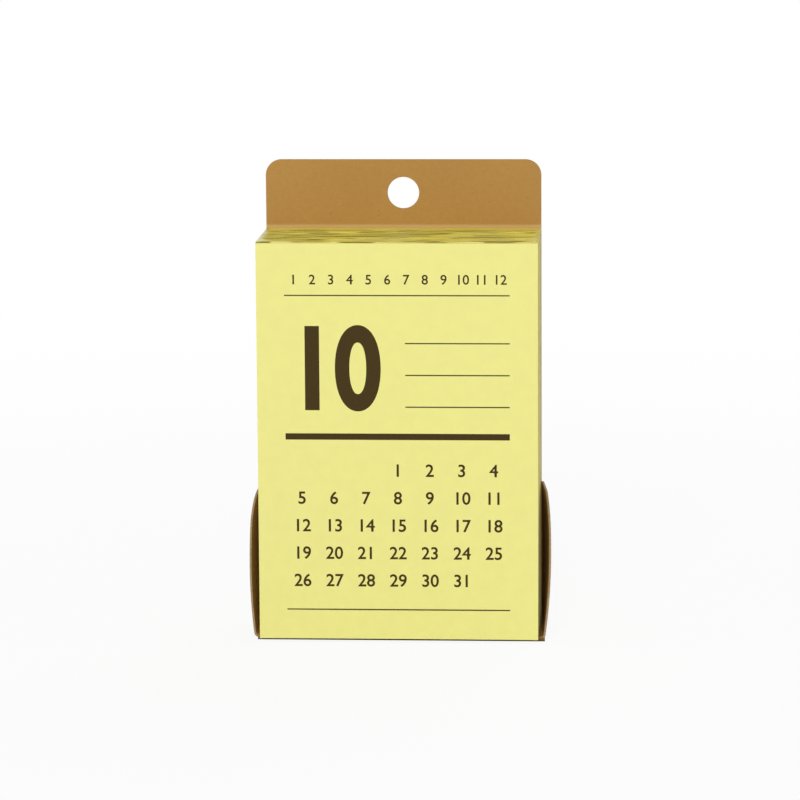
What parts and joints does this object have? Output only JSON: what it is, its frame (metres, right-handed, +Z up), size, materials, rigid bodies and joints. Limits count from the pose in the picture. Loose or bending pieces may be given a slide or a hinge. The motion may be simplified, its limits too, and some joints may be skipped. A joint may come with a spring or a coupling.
{
  "type": "block calendar",
  "caption": "Tear-off block calendar: a glue-bound pad of leaves standing in a folded kraft card case with a tall back board, flared side walls and a hang hole.",
  "frame": {"origin": "middle of the footprint, on the surface that the case stands on", "axes": "+Z up, the front of the pad faces -Y and the back board +Y, +X to the right seen from the front"},
  "size_m": [0.0762, 0.0298, 0.1189],
  "materials": {
    "kraft_card": "uncoated kraft",
    "leaf_paper": "uncoated",
    "cover_paper": "uncoated, printed",
    "padding_glue": "glossy film"
  },
  "bodies": {
    "root": {"card_case": "kraft_card", "page_block": "leaf_paper", "cover_sheet": "cover_paper", "glue_binding": "padding_glue"}
  },
  "joints": []
}
